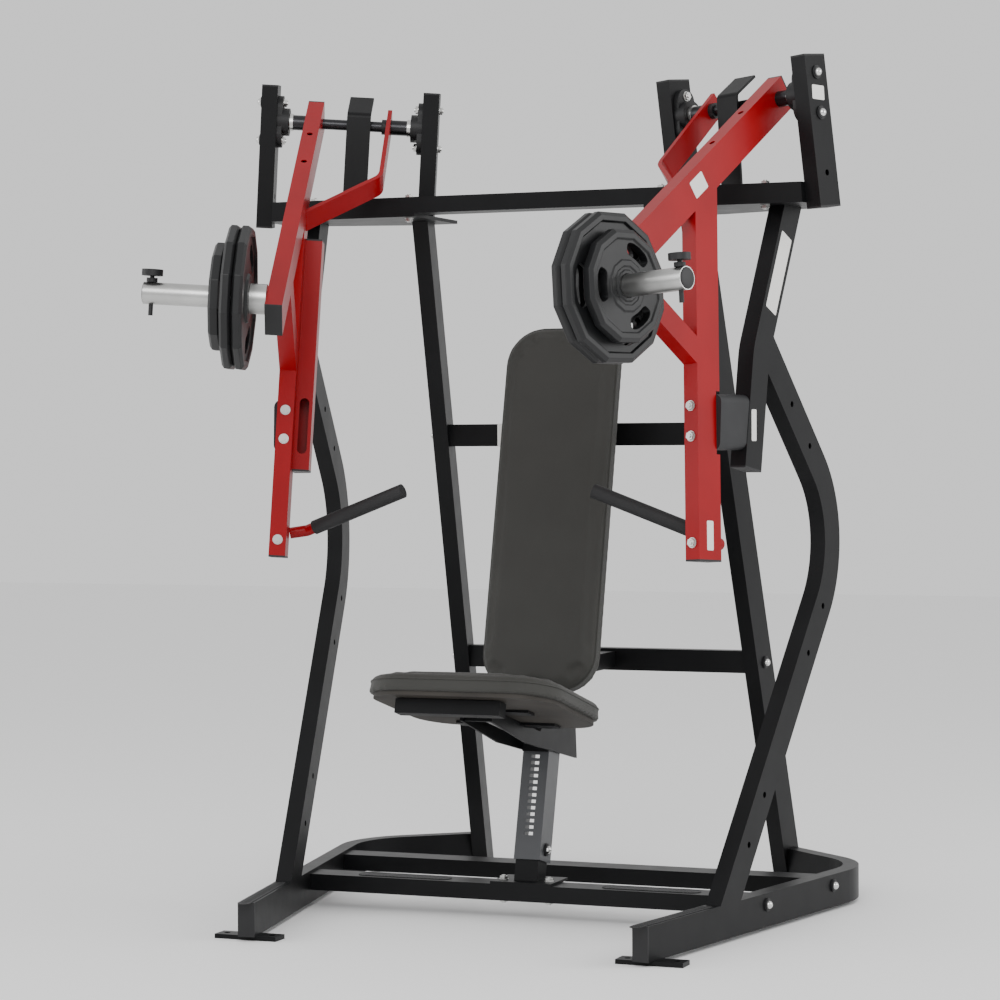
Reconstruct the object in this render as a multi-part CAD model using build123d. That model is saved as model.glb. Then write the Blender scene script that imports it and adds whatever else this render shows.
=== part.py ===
from build123d import *
import os
from math import cos, radians, sin, tan

# Plate-loaded chest press machine, in millimetres. X is to the user's left and right, Y runs from
# the front of the base to the back, Z is up. The origin lies on the floor, in the middle of the
# bounding box. The values below count Y from the front ends of the base rails.
Y_MID = 540.0

# Rectangular steel tube used for the frame and the arms
TUBE_W = 38.0
TUBE_D = 76.0
WALL = 3.0

# Side frames stand in vertical planes that splay outward to the rear. A place in such a plane is
# its distance rearward and its height.
SPLAY = 11.0
RAIL_FRONT_X = 459.0
FOOT_T = 10.0
RAIL_CORNER_S = 1152.0
RAIL_CORNER_R = 200.0
RAIL_TAIL_TURN = 40.0
LEG_FOOT_S = 448.0
LEG_LEAN = 35.8
LEG_BEND_Z = 884.0
LEG_BEND_R = 250.0
LEG_TOP_LEAN = 43.0
LEG_HOLE_Z = (204.0, 307.0, 610.0, 714.0, 1084.0, 1179.0)
HOLE_R = 7.0
STOP_TOP_S = 757.0
STOP_KNEE_S = 602.0
STOP_KNEE_Z = 1292.0
STOP_FOOT_S = 561.0
STOP_FOOT_Z = 1036.0
STOP_R = 120.0
UPRIGHT_FOOT_S = 1325.0
UPRIGHT_FOOT_INSET = 290.0
UPRIGHT_TOP_S = 793.0
UPRIGHT_TOP_INSET = 255.0

# Top of the frame
TOP_PLATE_Z = 1627.0
TOP_PLATE_T = 8.0
TOP_PLATE_FRONT_Y = 548.0
TOP_PLATE_REAR_Y = 812.0
TOP_PLATE_IN_X = 284.0
CROSSBAR_Y = 587.0
POST_RISE = 82.0
POST_LEAN = 5.5
OUTER_POST_DROP = 250.0
POST_HOLE_DROP = 178.0

# Arm axis: a point on it, its yaw from X and its tilt, with the outer end higher. Places on the arm
# are a outward along this axis, b rearward and c up, with the arm hanging on its stop.
PIVOT = (271.0, 726.0, 1844.0)
YAW = 20.5
TILT = 3.5
INNER_POST_A = 42.0
OUTER_POST_A = 428.0
ARM_A = 320.0
STRAP_A = 142.0
GUARD_A = 213.0
GUARD_W = 57.0
GUARD_T = 6.0
CAP_T = 4.0

# Arm
BEAM_FALL = 34.5
BEAM_TAIL = 38.0
BEAM_LENGTH = 884.0
BEAM_HOLE_T = (121.0, 253.0)
HORN_T = 840.0
HORN_RISE = 22.0
LEG_TOP_B = -283.0
LEG_TOP_C = -200.0
LEG_LOW_B = -337.0
LEG_LOW_C = -1026.0
INNER_LEG_D = 60.0
INNER_LEG_TOP_C = -300.0
INNER_LEG_LOW_C = -828.0
INNER_LEG_SHIFT = 44.0
BRACE_TOP_T = 707.0
BRACE_FOOT_C = -598.0
BRACE_DEPTH = 50.0
STRAP_FALL = 39.7
STRAP_T = 10.0
STRAP_W = 52.0
STRAP_TAIL = 36.0
STRAP_BEND = 238.0
STRAP_END = 398.0
HANDLE_BOLT_C = -990.0

# Pivot shaft and its flanged bearings
SHAFT_R = 12.5
RUN_GAP = 0.06
SPACER_R = 18.0
SIDE_GAP = 0.6
FLANGE_W = 60.0
FLANGE_H = 124.0
FLANGE_T = 12.0
HOUSING_R = 33.0
HOUSING_L = 16.0
FLANGE_BOLT_C = 45.0

# Horn, lock pin and plates
HORN_R = 24.0
HORN_WALL = 5.0
HORN_END_A = 607.0
SLEEVE_R = 33.0
PLATE_START_A = 375.0
PLATE_GAP = 1.0
LARGE_R = 160.0
LARGE_T = 24.0
SMALL_R = 120.0
SMALL_T = 28.0
PLATE_SIDES = 12
PLATE_RECESS = 5.0
PIN_R = 5.0
PIN_A = 590.0
PIN_DROP = 48.0
KNOB_R = 23.0
KNOB_T = 14.0
KNOB_C = 38.0

# Handle
BAR_R = 13.0
GRIP_R = 16.5
BAR_START = (301.0, -276.0, -975.0)
BAR_BEND = (262.0, -276.0, -967.0)
BAR_BOSS_L = 20.0
GRIP_END = (45.0, -362.0, -863.0)
GRIP_LENGTH = 235.0

# Stop bumper on the front of the stop post
BUMPER_W = 36.0
BUMPER_H = 122.0
BUMPER_Z = 1137.0
BUMPER_GAP = 0.4
NOTCH_DEPTH = 12.0
NOTCH_C = -728.0
NOTCH_H = 138.0

# Base cross members and rear braces
CROSS_Z = 60.0
FRONT_CROSS_Y = 520.0
REAR_CROSS_Y = 845.0
UPPER_BRACE_Z = 1114.0
LOWER_BRACE_Z = 558.0
REAR_BRACE_H = 54.0
REAR_BRACE_D = 38.0
BRACKET_W = 50.0
BRACKET_H = 40.0
BRACKET_PLATE_W = 120.0
BRACKET_PLATE_L = 90.0
BRACKET_PLATE_T = 6.0

# Back pad: the foot of its front face, then its size
PAD_FOOT_Y = 572.0
PAD_FOOT_Z = 516.0
PAD_RECLINE = 13.4
PAD_W = 292.0
PAD_L = 884.0
PAD_T = 52.0
PAD_R = 95.0
BOARD_T = 14.0
BOARD_INSET = 14.0

# Seat post, carriage and seat
POST_TILT = 15.0
POST_W = 64.0
POST_D = 72.0
POST_WALL = 4.0
SLOT_W = 20.0
SLOT_H = 8.0
SLOT_PITCH = 15.0
SLOT_COUNT = 16
SLIDE_GAP = 0.4
SEAT_FRONT_Y = 80.0
SEAT_FRONT_Z = 604.0
SEAT_W = 462.0
SEAT_L = 418.0
SEAT_T = 46.0
SEAT_R = 105.0
SEAT_BOARD_T = 9.0
POST_FRONT_Y = 549.0
POST_LOW_Z = -340.0
POST_TOP_Z = 10.0
CHEEK_T = 6.0
LATCH_Z = -70.0
LATCH_T = 6.0
BOLT_W = 18.0
PULL_R = 5.0
BAR_REAR = 88.0
BLADE_Y = 501.0
GUIDE_Y = 175.0
RELEASE_X = (-147.0, 100.0)
FLANGE_PLATE_T = 6.0
FLANGE_PLATE_D = 112.0

FRONT_FOOT_W = 150.0
FRONT_FOOT_D = 46.0
REAR_FOOT_W = 120.0
REAR_FOOT_D = 96.0
ANCHOR_R = 7.0
FAR = 5000.0

os.makedirs("parts", exist_ok=True)
SIDE = Vector(sin(radians(SPLAY)), cos(radians(SPLAY)), 0)
SIDE_OUT = Vector(cos(radians(SPLAY)), -sin(radians(SPLAY)), 0)
RAIL_Z = FOOT_T + TUBE_D / 2
RAIL_TOP = FOOT_T + TUBE_D


def side_plane(inset=0.0):
    """Middle plane of the right side frame, moved inboard: x to the rear, y up, z outward."""
    out = RAIL_FRONT_X * cos(radians(SPLAY)) - inset
    return Plane(origin=SIDE_OUT * out, x_dir=SIDE, z_dir=SIDE_OUT)


def side_point(s, z, inset=0.0):
    return side_plane(inset).from_local_coords(Vector(s, z, 0))


def arm_plane(a=0.0):
    """Plane square to the right arm's axis: x to the rear, y up, z outward along the axis."""
    yaw = radians(YAW)
    tilt = radians(TILT)
    axis = Vector(cos(yaw) * cos(tilt), -sin(yaw) * cos(tilt), sin(tilt))
    return Plane(origin=Vector(*PIVOT) + axis * a, x_dir=(sin(yaw), cos(yaw), 0), z_dir=axis)


def arm_point(a, b, c):
    return arm_plane(a).from_local_coords(Vector(b, c, 0))


AXIS = arm_plane().z_dir
REARWARD = arm_plane().x_dir
UPWARD = arm_plane().y_dir
FALL = -REARWARD * cos(radians(BEAM_FALL)) - UPWARD * sin(radians(BEAM_FALL))
BEAM_PLANE = Plane(origin=Vector(*PIVOT), x_dir=FALL, z_dir=FALL.cross(AXIS))


def beam_point(t, a, rise=0.0):
    """A place along the beam from the pivot axis, outward by a, and square above the beam's middle."""
    return BEAM_PLANE.from_local_coords(Vector(t, a, rise))


def mirrored(shape):
    """The left-hand twin of a right-hand shape."""
    return mirror(shape, about=Plane.YZ)


def save(name, *shapes):
    """Write one node, moved to the machine's origin."""
    solids = [s.moved(Location((0, -Y_MID, 0))) for shape in shapes for s in shape.solids()]
    export_step(Compound(children=solids), f"parts/{name}.step")


def save_pair(name, *shapes):
    """Write the right-hand node and its left-hand twin."""
    save(f"right_{name}", *shapes)
    save(f"left_{name}", *[mirrored(shape) for shape in shapes])


def outline(points):
    return make_face(Polyline(*points, close=True))


def beyond(plane):
    """Everything on the side of a plane that its normal points to."""
    return extrude(plane * Rectangle(FAR, FAR), amount=FAR)


def bar_section(path, across, width, depth):
    start = Plane(origin=path @ 0, x_dir=across, z_dir=path % 0)
    return sweep(start * Rectangle(width, depth), path=path)


def run(points, across, width=TUBE_W, depth=TUBE_D, radius=0.0):
    """Solid bar along a bent path; across is the direction of its width."""
    path = FilletPolyline(*points, radius=radius) if radius else Polyline(*points)
    return bar_section(path, across, width, depth)


def tube(points, across, cuts=(), width=TUBE_W, depth=TUBE_D, radius=0.0):
    """Tube trimmed by cutting planes; each cut end is closed by a welded plate."""
    outer = run(points, across, width, depth, radius)
    inner = run(points, across, width - 2 * WALL, depth - 2 * WALL, radius)
    for plane in cuts:
        outer -= beyond(plane)
        inner -= beyond(plane.offset(-WALL))
    return outer - inner


def level(z, up=True):
    """Horizontal cutting plane that removes what is above it, or below it."""
    return Plane(origin=(0, 0, z), z_dir=(0, 0, 1 if up else -1))


def turned(plane):
    """The same plane, facing the other way."""
    return Plane(origin=plane.origin, x_dir=plane.x_dir, z_dir=-plane.z_dir)


def rod(start, end, radius):
    line = Line(start, end)
    return extrude(Plane(origin=line @ 0, z_dir=line % 0) * Circle(radius), amount=line.length)


def dome_bolt(point, direction):
    """Black washer and chromed dome nut on a face."""
    plane = Plane(origin=point, z_dir=direction)
    washer = extrude(plane * Circle(15), amount=5)
    dome = extrude(plane.offset(5) * Circle(9), amount=9)
    return [washer, dome]


def hex_head(point, direction, radius=10.0, height=8.0):
    """Hexagon bolt head or nut on a face."""
    plane = Plane(origin=point, z_dir=direction)
    return [extrude(plane * RegularPolygon(radius, 6), amount=height)]


# Envelopes that the parts meeting them are trimmed to
def post_path(a, low, high):
    """Post centre line through the pivot axis, leaning forward as it rises."""
    lean = tan(radians(POST_LEAN))
    return [arm_point(a, -low * lean, low), arm_point(a, -high * lean, high)]


def post_outer_face():
    return arm_plane(OUTER_POST_A - TUBE_W / 2)


def upright_middle(z):
    """Middle of the right upright at a height; it nears the side frame as it rises."""
    share = z / TOP_PLATE_Z
    s = UPRIGHT_FOOT_S + share * (UPRIGHT_TOP_S - UPRIGHT_FOOT_S)
    return side_point(s, z, UPRIGHT_FOOT_INSET + share * (UPRIGHT_TOP_INSET - UPRIGHT_FOOT_INSET))


def upright_face(way):
    """Outer (+1) or inner (-1) face of the right upright, facing away from the tube."""
    rise = (upright_middle(TOP_PLATE_Z) - upright_middle(0)).normalized()
    normal = (SIDE_OUT - rise * SIDE_OUT.dot(rise)).normalized() * way
    return Plane(origin=upright_middle(0) + normal * TUBE_W / 2, z_dir=normal)


STOP_PATH = [
    side_point(STOP_TOP_S + (STOP_TOP_S - STOP_KNEE_S) * 0.15, TOP_PLATE_Z + 50.0),
    side_point(STOP_KNEE_S, STOP_KNEE_Z),
    side_point(STOP_FOOT_S, STOP_FOOT_Z),
]


def base_rail():
    corner = side_point(RAIL_CORNER_S, RAIL_Z)
    turn = radians(RAIL_TAIL_TURN)
    points = [
        side_point(RAIL_FRONT_X * sin(radians(SPLAY)), RAIL_Z),
        corner,
        corner + Vector(-cos(turn), sin(turn), 0) * 400,
    ]
    inboard = turned(upright_face(1))
    front = turned(Plane(origin=points[0], x_dir=SIDE_OUT, z_dir=SIDE))
    return tube(points, SIDE_OUT, [inboard, front], radius=RAIL_CORNER_R)


def leg_s(z):
    """Middle of the front leg at a height, along the side frame."""
    low = min(z, LEG_BEND_Z) - RAIL_TOP
    high = max(z - LEG_BEND_Z, 0)
    return LEG_FOOT_S + low * tan(radians(LEG_LEAN)) - high * tan(radians(LEG_TOP_LEAN))


def front_leg():
    end_z = LEG_BEND_Z + (leg_s(LEG_BEND_Z) - STOP_KNEE_S) / tan(radians(LEG_TOP_LEAN))
    points = [
        side_point(leg_s(RAIL_TOP - TUBE_D), RAIL_TOP - TUBE_D),
        side_point(leg_s(LEG_BEND_Z), LEG_BEND_Z),
        side_point(STOP_KNEE_S, end_z),
    ]
    leg = tube(points, SIDE_OUT, [level(RAIL_TOP, up=False)], radius=LEG_BEND_R)
    for z in LEG_HOLE_Z:
        leg -= rod(side_point(leg_s(z), z, -TUBE_W), side_point(leg_s(z), z, TUBE_W), HOLE_R)
    leg -= run(STOP_PATH, SIDE_OUT, width=TUBE_W + 2, radius=STOP_R)
    return leg.solids().sort_by(SortBy.VOLUME)[-1]


def stop_post():
    return tube(STOP_PATH, SIDE_OUT, [level(TOP_PLATE_Z)], radius=STOP_R)


def rear_upright():
    low = -100.0
    high = TOP_PLATE_Z + 100.0
    points = [upright_middle(z) for z in (low, high)]
    return tube(points, SIDE_OUT, [level(FOOT_T, up=False), level(TOP_PLATE_Z)])


def top_plate():
    x_out = RAIL_FRONT_X + 220.0
    corners = [
        (TOP_PLATE_IN_X, TOP_PLATE_FRONT_Y),
        (x_out, TOP_PLATE_FRONT_Y),
        (x_out, TOP_PLATE_FRONT_Y + 170.0),
        (TOP_PLATE_IN_X + 110.0, TOP_PLATE_REAR_Y),
        (TOP_PLATE_IN_X, TOP_PLATE_REAR_Y),
    ]
    plate = extrude(level(TOP_PLATE_Z) * outline(corners), amount=TOP_PLATE_T)
    return plate - beyond(post_outer_face())


def crossbar():
    z = TOP_PLATE_Z + TOP_PLATE_T + TUBE_W / 2
    reach = PIVOT[0] + OUTER_POST_A
    face = post_outer_face()
    left_face = Plane(
        origin=(-face.origin.X, face.origin.Y, face.origin.Z),
        z_dir=(-face.z_dir.X, face.z_dir.Y, face.z_dir.Z),
    )
    return tube([(-reach, CROSSBAR_Y, z), (reach, CROSSBAR_Y, z)], (0, 0, 1), [face, left_face])


def outer_post():
    post = tube(post_path(OUTER_POST_A, -OUTER_POST_DROP, POST_RISE), AXIS)
    b = POST_HOLE_DROP * tan(radians(POST_LEAN))
    inner = arm_point(OUTER_POST_A - TUBE_W, b, -POST_HOLE_DROP)
    outer = arm_point(OUTER_POST_A + TUBE_W, b, -POST_HOLE_DROP)
    return post - rod(inner, outer, HOLE_R)


def inner_post():
    floor = level(TOP_PLATE_Z + TOP_PLATE_T, up=False)
    return tube(post_path(INNER_POST_A, -OUTER_POST_DROP, POST_RISE), AXIS, [floor])


def bearing(face_a, direction):
    """Flanged bearing unit on a post face; direction is +1 when it stands outward from the face."""
    plane = arm_plane(face_a)
    flange = extrude(plane * SlotOverall(FLANGE_H, FLANGE_W, rotation=90), amount=FLANGE_T * direction)
    housing = extrude(plane * Circle(HOUSING_R), amount=(FLANGE_T + HOUSING_L) * direction)
    bore = extrude(plane * Circle(SHAFT_R + RUN_GAP), amount=(FLANGE_T + HOUSING_L) * direction)
    return flange + housing - bore


def shaft_guard():
    """Bent flat bar that stands on the top plate and folds back over the shaft."""
    corners = [arm_point(GUARD_A, -27, -260), arm_point(GUARD_A, -27, 24), arm_point(GUARD_A, 44, 71)]
    guard = run(corners, AXIS, GUARD_W, GUARD_T, radius=12)
    guard -= beyond(level(TOP_PLATE_Z + TOP_PLATE_T, up=False))
    z = TOP_PLATE_Z + TOP_PLATE_T + TUBE_W / 2
    return guard - Pos(0, CROSSBAR_Y, z) * Box(FAR, TUBE_D, TUBE_W)


def leg_middle(c):
    """Rearward place of the arm leg's middle at a height on the arm."""
    share = (c - LEG_TOP_C) / (LEG_LOW_C - LEG_TOP_C)
    return LEG_TOP_B + share * (LEG_LOW_B - LEG_TOP_B)


LEG_DOWN = (arm_point(0, LEG_LOW_B, LEG_LOW_C) - arm_point(0, LEG_TOP_B, LEG_TOP_C)).normalized()
LEG_BACK = AXIS.cross(LEG_DOWN).normalized()


def notch_floor(gap=0.0):
    """Plane on the floor of the notch in the arm leg's back, facing rearward."""
    middle = arm_point(ARM_A, leg_middle(NOTCH_C), NOTCH_C)
    return Plane(
        origin=middle + LEG_BACK * (TUBE_D / 2 - NOTCH_DEPTH + gap),
        x_dir=AXIS,
        z_dir=LEG_BACK,
    )


def bumper():
    """Rubber block on the front of the stop post, reaching into the arm leg's notch."""
    start = Plane(origin=side_point(STOP_FOOT_S, BUMPER_Z), x_dir=SIDE_OUT, z_dir=-SIDE)
    block = extrude(start * SlotOverall(BUMPER_H, BUMPER_W, rotation=90), amount=250)
    block -= run(STOP_PATH, SIDE_OUT, radius=STOP_R)
    block = block.solids().sort_by(Axis.Y)[0]
    return block - beyond(turned(notch_floor(BUMPER_GAP)))


def cross_member(y):
    """Tube between the base rails, closed where it meets them."""
    face = side_plane(TUBE_W / 2)
    points = [(-RAIL_FRONT_X * 2, y, CROSS_Z), (RAIL_FRONT_X * 2, y, CROSS_Z)]
    return tube(points, (0, 0, 1), [face, mirrored_plane(face)])


def mirrored_plane(plane):
    return Plane(
        origin=(-plane.origin.X, plane.origin.Y, plane.origin.Z),
        z_dir=(-plane.z_dir.X, plane.z_dir.Y, plane.z_dir.Z),
    )


def rear_brace(z):
    """Tube between the rear uprights, closed where it meets them."""
    face = turned(upright_face(-1))
    y = upright_middle(z).Y
    points = [(-RAIL_FRONT_X * 2, y, z), (RAIL_FRONT_X * 2, y, z)]
    return tube(points, (0, 0, 1), [face, mirrored_plane(face)], REAR_BRACE_H, REAR_BRACE_D)


# Back pad: x across, y up along the pad, z to the front
LEAN = radians(PAD_RECLINE)
PAD_PLANE = Plane(
    origin=(0, PAD_FOOT_Y, PAD_FOOT_Z),
    x_dir=(1, 0, 0),
    z_dir=(0, -cos(LEAN), sin(LEAN)),
)
PAD_MIDDLE = PAD_PLANE * Pos(0, PAD_L / 2, 0)


def back_pad():
    face = PAD_MIDDLE * Pos(0, 0, -PAD_T) * RectangleRounded(PAD_W, PAD_L, PAD_R)
    pad = extrude(face, amount=PAD_T)
    return fillet(pad.faces().sort_by(Axis.Y)[0].edges(), 12)


def back_board():
    width = PAD_W - 2 * BOARD_INSET
    length = PAD_L - 2 * BOARD_INSET
    face = PAD_MIDDLE * Pos(0, 0, -PAD_T - BOARD_T)
    return extrude(face * RectangleRounded(width, length, PAD_R - BOARD_INSET), amount=BOARD_T)


def pad_bracket(z):
    """Short tube from the rear brace forward to the pad's board, with a plate on the board."""
    brace_front = upright_middle(z).Y - REAR_BRACE_D / 2
    back = Plane(origin=(0, brace_front, 0), z_dir=(0, 1, 0))
    board = PAD_PLANE.offset(-PAD_T - BOARD_T - BRACKET_PLATE_T)
    points = [(0, PAD_FOOT_Y, z), (0, brace_front + 50, z)]
    arm = tube(points, (1, 0, 0), [back, board], BRACKET_W, BRACKET_H)
    up = (z - PAD_FOOT_Z) / cos(LEAN)
    plate = PAD_PLANE * Pos(0, up, -PAD_T - BOARD_T - BRACKET_PLATE_T / 2)
    return [arm, plate * Box(BRACKET_PLATE_W, BRACKET_PLATE_L, BRACKET_PLATE_T)]


# Seat: x across, y to the rear along the seat, z square to its top
RAKE = radians(POST_TILT)
SEAT_PLANE = Plane(
    origin=(0, SEAT_FRONT_Y, SEAT_FRONT_Z),
    x_dir=(1, 0, 0),
    z_dir=(0, sin(RAKE), cos(RAKE)),
)
BOARD_UNDER = -SEAT_T - SEAT_BOARD_T


def block(x, y, z):
    """Box in seat directions, given as three (low, high) pairs."""
    size = [high - low for low, high in (x, y, z)]
    middle = [(high + low) / 2 for low, high in (x, y, z)]
    return SEAT_PLANE * Pos(*middle) * Box(*size)


def post_seat_z(step):
    """Height of a latch slot from the seat's top, counted down from the latch."""
    return LATCH_Z - step * SLOT_PITCH


def seat_post():
    """Channel with its open side to the rear and a ladder of latch slots in its front."""
    half = POST_W / 2
    low = POST_FRONT_Y
    channel = block((-half, half), (low, low + POST_D), (POST_LOW_Z, POST_TOP_Z))
    inner = half - POST_WALL
    hollow_y = (low + POST_WALL, low + POST_D + 1)
    channel -= block((-inner, inner), hollow_y, (POST_LOW_Z - 1, POST_TOP_Z + 1))
    for step in range(-1, SLOT_COUNT - 1):
        z = post_seat_z(step)
        reach = (z - SLOT_H / 2, z + SLOT_H / 2)
        channel -= block((-SLOT_W / 2, SLOT_W / 2), (low - 1, low + POST_WALL + 1), reach)
    return channel


def seat_foot():
    """Flange plate on the front cross member and the block that fills the foot of the post."""
    inner = POST_W / 2 - POST_WALL
    low = POST_FRONT_Y + POST_WALL
    stem = block((-inner, inner), (low, low + 56), (POST_LOW_Z - 60, POST_LOW_Z + 56))
    top = CROSS_Z + TUBE_W / 2
    stem -= beyond(level(top + FLANGE_PLATE_T, up=False))
    middle_y = FRONT_CROSS_Y + FLANGE_PLATE_D / 2 - TUBE_D / 2
    plate = Pos(0, middle_y, top + FLANGE_PLATE_T / 2) * Box(150, FLANGE_PLATE_D, FLANGE_PLATE_T)
    return plate + stem


def seat_carriage():
    """Two cheek plates joined by plates in front of and behind the post, and the seat's cross plates."""
    half = POST_W / 2 + SLIDE_GAP
    corners = [(165, BOARD_UNDER), (165, -84), (391, -95), (721, -75), (686, 20), (536, 20)]
    cheek = outline([*corners, (465, BOARD_UNDER)])
    side = Plane(origin=SEAT_PLANE.origin, x_dir=SEAT_PLANE.y_dir, z_dir=(1, 0, 0))
    right = extrude(side.offset(half) * cheek, amount=CHEEK_T)
    left = extrude(side.offset(-half - CHEEK_T) * cheek, amount=CHEEK_T)
    front = (POST_FRONT_Y - SLIDE_GAP - CHEEK_T, POST_FRONT_Y - SLIDE_GAP)
    rear = (POST_FRONT_Y + POST_D + SLIDE_GAP, POST_FRONT_Y + POST_D + SLIDE_GAP + CHEEK_T)
    body = right + left
    body += block((-half, half), front, (-89, 16))
    body += block((-half, half), rear, (-77, 16))
    body += block((-half, half), (GUIDE_Y, GUIDE_Y + 8), (-82, BOARD_UNDER))
    body += block((-120, 120), (170, 210), (BOARD_UNDER - 6, BOARD_UNDER))
    body += block((-120, 120), (340, 380), (BOARD_UNDER - 6, BOARD_UNDER))
    body -= block((-BOLT_W / 2 - 0.3, BOLT_W / 2 + 0.3), (front[0] - 1, front[1] + 1), latch_reach(0.3))
    body -= SEAT_PLANE * Pos(0, GUIDE_Y + 4, LATCH_Z) * Rot(X=90) * Cylinder(PULL_R + RUN_GAP, 30)
    for y, z in ((664, -6), (679, -34)):
        body += SEAT_PLANE * Pos(0, y, z) * Rot(Y=90) * Cylinder(8, 2 * half)
    return body


def latch_reach(gap=0.0):
    return (LATCH_Z - LATCH_T / 2 - gap, LATCH_Z + LATCH_T / 2 + gap)


def latch():
    """Pull rod with a flat blade on its end that drops into a slot of the post."""
    blade = block((-BOLT_W / 2, BOLT_W / 2), (BLADE_Y, POST_FRONT_Y - SLIDE_GAP), latch_reach())
    stem = SEAT_PLANE * Pos(0, (BAR_REAR + BLADE_Y) / 2, LATCH_Z) * Rot(X=90)
    return blade + stem * Cylinder(PULL_R, BLADE_Y - BAR_REAR)


def release_bar():
    """Closed square tube across the front of the seat."""
    bar = block(RELEASE_X, (BAR_REAR - 38, BAR_REAR), (LATCH_Z - 19, LATCH_Z + 13))
    inside = (RELEASE_X[0] + 3, RELEASE_X[1] - 3)
    return bar - block(inside, (BAR_REAR - 35, BAR_REAR - 3), (LATCH_Z - 16, LATCH_Z + 10))


def seat_pad():
    face = SEAT_PLANE * Pos(0, SEAT_L / 2, -SEAT_T) * RectangleRounded(SEAT_W, SEAT_L, SEAT_R)
    pad = extrude(face, amount=SEAT_T)
    return fillet(pad.faces().sort_by(Axis.Z)[-1].edges(), 12)


def seat_board():
    face = SEAT_PLANE * Pos(0, SEAT_L / 2, BOARD_UNDER)
    outline_face = face * RectangleRounded(SEAT_W - 28, SEAT_L - 28, SEAT_R - 14)
    return extrude(outline_face, amount=SEAT_BOARD_T)


# Arm, right hand
def shaft_cutter():
    return rod(arm_point(0, 0, 0), arm_point(OUTER_POST_A, 0, 0), SHAFT_R)


def shaft():
    """Turned shaft with a shoulder on each side, running in the two bearings."""
    inner = INNER_POST_A + TUBE_W / 2
    outer = OUTER_POST_A - TUBE_W / 2
    housing = FLANGE_T + HOUSING_L + SIDE_GAP
    body = rod(arm_point(inner + 3, 0, 0), arm_point(outer - 3, 0, 0), SHAFT_R)
    body += rod(arm_point(inner + housing, 0, 0), arm_point(STRAP_A - STRAP_T / 2, 0, 0), SPACER_R)
    body += rod(arm_point(ARM_A + TUBE_W / 2, 0, 0), arm_point(outer - housing, 0, 0), SPACER_R)
    return body


def beam():
    body = tube_open(beam_point(-BEAM_TAIL, ARM_A), beam_point(BEAM_LENGTH, ARM_A))
    for t in BEAM_HOLE_T:
        body -= rod(beam_point(t, ARM_A), beam_point(t, ARM_A, TUBE_D), HOLE_R)
    return body - shaft_cutter()


def tube_open(start, end, width=TUBE_W, depth=TUBE_D):
    """Straight arm tube with open ends, its width along the arm axis."""
    points = [start, end]
    return run(points, AXIS, width, depth) - run(points, AXIS, width - 2 * WALL, depth - 2 * WALL)


def beam_under():
    """Plane on the beam's underside that removes what is above it."""
    return BEAM_PLANE.offset(-TUBE_D / 2)


def arm_leg():
    """Tube under the beam with a notch in its back for the stop bumper."""
    points = [arm_point(ARM_A, LEG_TOP_B, LEG_TOP_C), arm_point(ARM_A, LEG_LOW_B, LEG_LOW_C)]
    up = points[0] - LEG_DOWN * 150
    solid = run([up, points[1]], AXIS)
    leg = solid - run([up, points[1]], AXIS, TUBE_W - 2 * WALL, TUBE_D - 2 * WALL)
    floor = notch_floor()
    lining = extrude(floor.offset(-WALL) * Rectangle(TUBE_W, NOTCH_H + 2 * WALL), amount=60)
    leg += lining & solid
    leg -= extrude(floor * Rectangle(TUBE_W + 2, NOTCH_H), amount=60)
    leg -= beyond(beam_under())
    return leg.solids().sort_by(SortBy.VOLUME)[-1]


def inner_leg():
    """Second tube beside the leg, on its inner side."""
    a = ARM_A - TUBE_W
    ends = (INNER_LEG_TOP_C, INNER_LEG_LOW_C)
    points = [arm_point(a, leg_middle(c) + INNER_LEG_SHIFT, c) for c in ends]
    body = tube_open(points[0], points[1], TUBE_W, INNER_LEG_D)
    middle = arm_point(a, leg_middle(NOTCH_C) + INNER_LEG_SHIFT, NOTCH_C)
    mouth = Plane(origin=middle - LEG_BACK * (INNER_LEG_D / 2 + 1), x_dir=AXIS, z_dir=LEG_BACK)
    return body - extrude(mouth * SlotOverall(128, 22, rotation=90), amount=WALL + 1.5)


def arm_brace():
    """Tube from the beam's underside down to the front of the leg."""
    top = beam_point(BRACE_TOP_T, ARM_A)
    foot = arm_point(ARM_A, leg_middle(BRACE_FOOT_C), BRACE_FOOT_C)
    leg_front = Plane(origin=foot - LEG_BACK * TUBE_D / 2, z_dir=LEG_BACK)
    return tube([top, foot], AXIS, [beam_under(), leg_front], TUBE_W, BRACE_DEPTH)


def strap_point(reach, a):
    """A place along the strap, which falls more steeply than the beam."""
    fall = radians(STRAP_FALL)
    return arm_point(a, -reach * cos(fall), -reach * sin(fall))


def yoke_strap():
    """Flat bar from the shaft's inner end, bent outward to the beam's inner face."""
    points = [
        strap_point(-STRAP_TAIL, STRAP_A),
        strap_point(STRAP_BEND, STRAP_A),
        strap_point(STRAP_END, ARM_A - TUBE_W / 2),
    ]
    points[2] += (points[2] - points[1]) * 0.2
    square = (points[0] - points[1]).cross(AXIS).normalized()
    strap = run(points, square, STRAP_W, STRAP_T, radius=40)
    strap -= beyond(arm_plane(ARM_A - TUBE_W / 2))
    return strap - shaft_cutter()


def horn_axis_point(a):
    return beam_point(HORN_T, a, HORN_RISE)


def horn():
    """Tube that carries the plates, on a welded sleeve, with a cross hole for the lock pin."""
    start = ARM_A + TUBE_W / 2
    body = rod(horn_axis_point(start), horn_axis_point(HORN_END_A), HORN_R)
    body += rod(horn_axis_point(start), horn_axis_point(PLATE_START_A), SLEEVE_R)
    body -= rod(horn_axis_point(start - 1), horn_axis_point(HORN_END_A - 6), HORN_R - HORN_WALL)
    cross_hole = horn_axis_point(PIN_A)
    return body - rod(cross_hole - UPWARD * 60, cross_hole + UPWARD * 60, PIN_R + RUN_GAP)


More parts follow.
